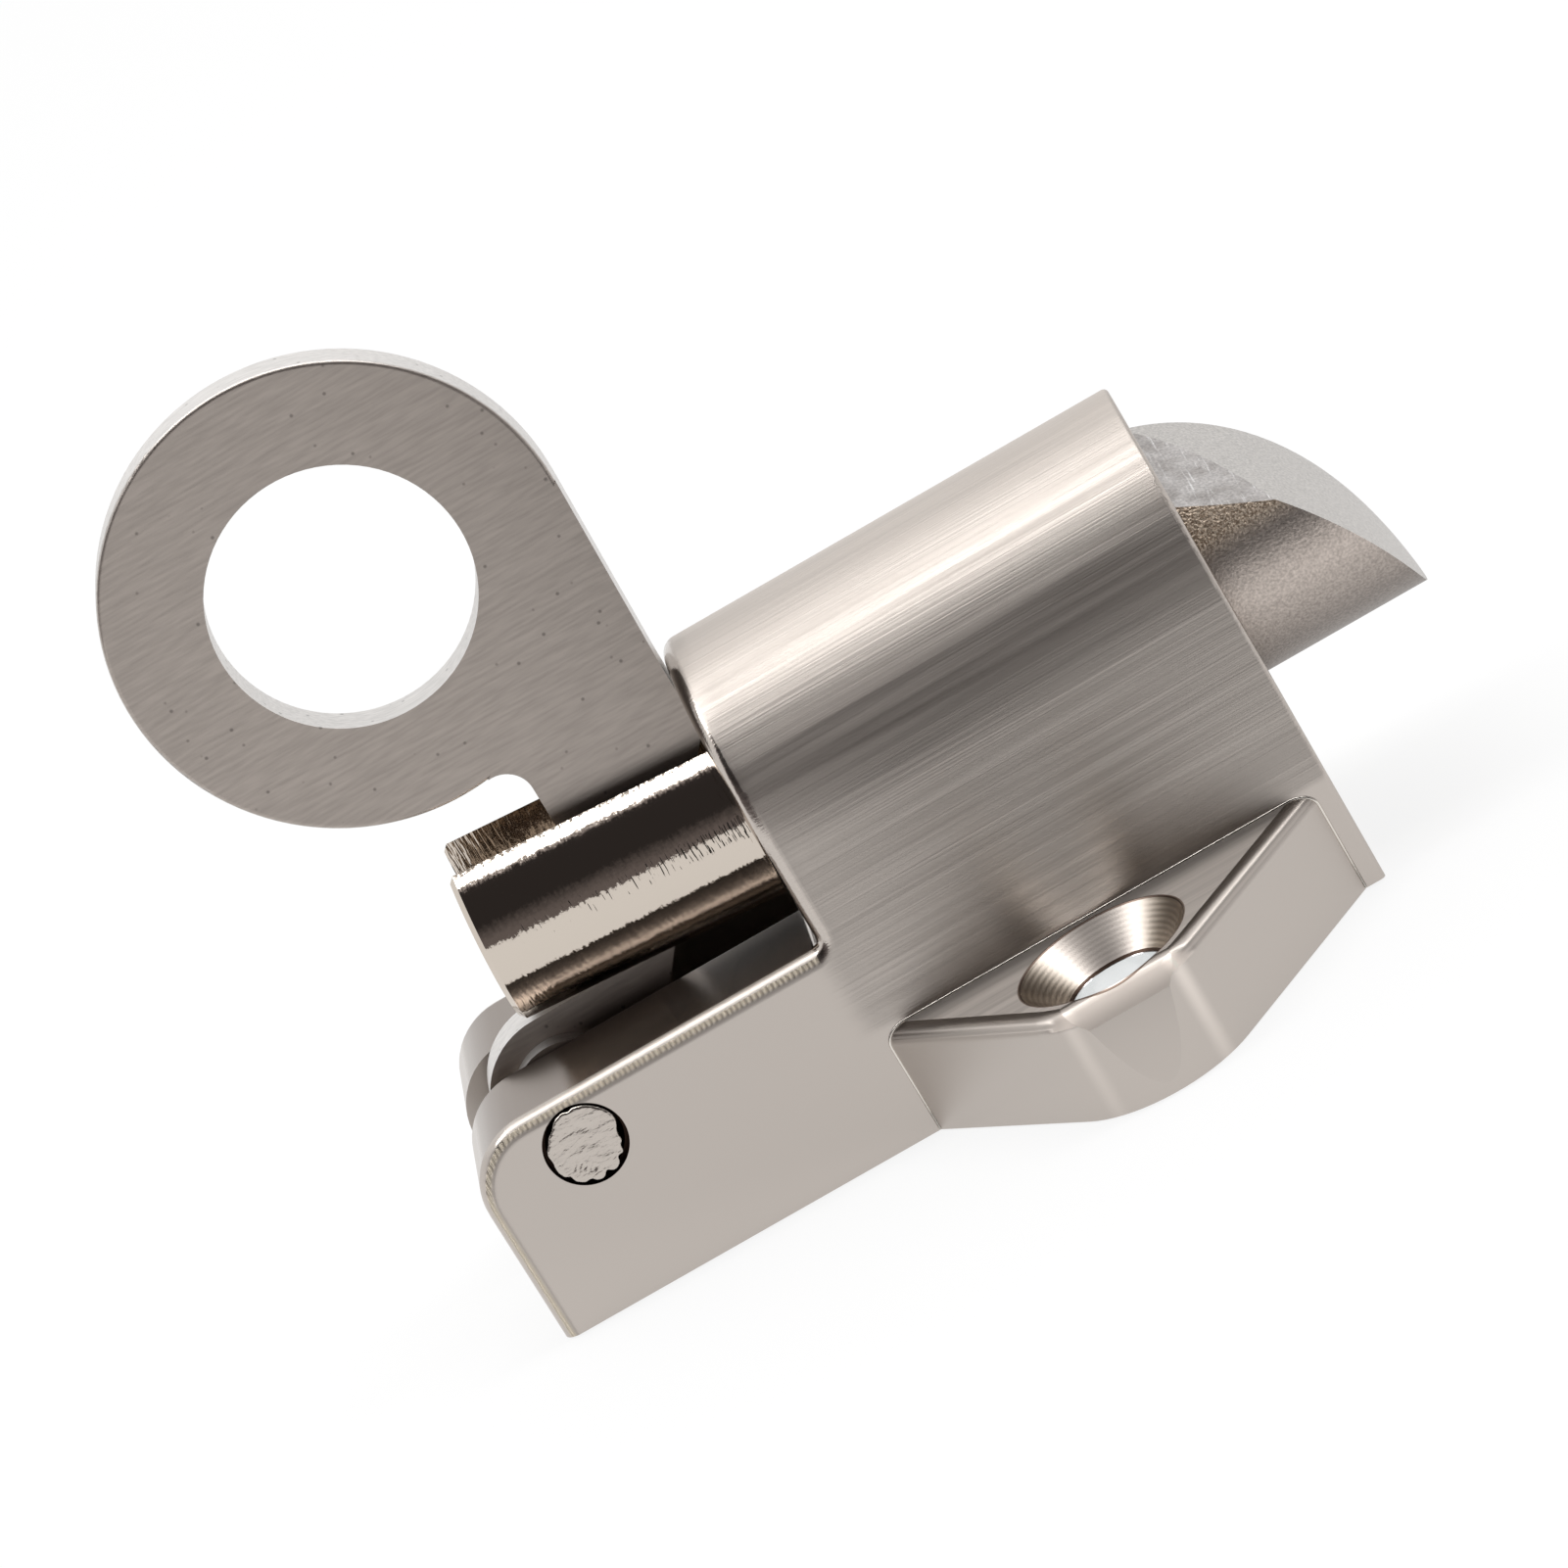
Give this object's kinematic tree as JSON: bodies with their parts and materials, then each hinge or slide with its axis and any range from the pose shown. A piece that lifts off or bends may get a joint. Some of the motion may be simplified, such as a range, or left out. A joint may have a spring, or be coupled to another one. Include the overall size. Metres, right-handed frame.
{
  "type": "spring door bolt",
  "caption": "Surface-mounted spring bolt with a bevelled latch bolt, two screw lugs and a pull ring lever that draws the bolt back.",
  "frame": {"origin": "midway between the two screw holes, on the base plane that meets the door", "axes": "+X the way the bolt shoots, +Y across the body (symmetry), +Z away from the door"},
  "size_m": [0.0627, 0.0426, 0.0521],
  "materials": {
    "satin_nickel": "satin nickel plate over a die casting, brushed along the barrel",
    "blasted_nickel": "matte nickel plate over a fine-blasted steel bolt",
    "bright_nickel": "bright nickel plate",
    "spring_steel": "zinc-plated spring wire",
    "lever_nickel": "brushed nickel plate with fine pits",
    "pin_steel": "bare steel, riveted end"
  },
  "bodies": {
    "housing": {"housing": "satin_nickel", "pivot_pin": "pin_steel", "bolt_spring": "spring_steel"},
    "bolt": {"latch_bolt": "blasted_nickel", "tail_rod": "bright_nickel", "cross_pin": "bright_nickel"},
    "lever": {"ring_lever": "lever_nickel"}
  },
  "joints": [
    {"name": "bolt_slide", "type": "slide", "parent": "housing", "child": "bolt", "axis": [-1, 0, 0], "range_m": [0, 0.01], "stiffness_N_per_m": 300, "springref_m": -0.012, "deforming": ["bolt_spring"]},
    {"name": "lever_hinge", "type": "hinge", "parent": "housing", "child": "lever", "pos_m": [-0.02875, 0, 0.0092], "axis": [0, -1, 0], "range_deg": [0, 50]}
  ],
  "couplings": [
    {"joint": "lever_hinge", "follows": "bolt_slide", "rad_per_m": 87.26}
  ]
}
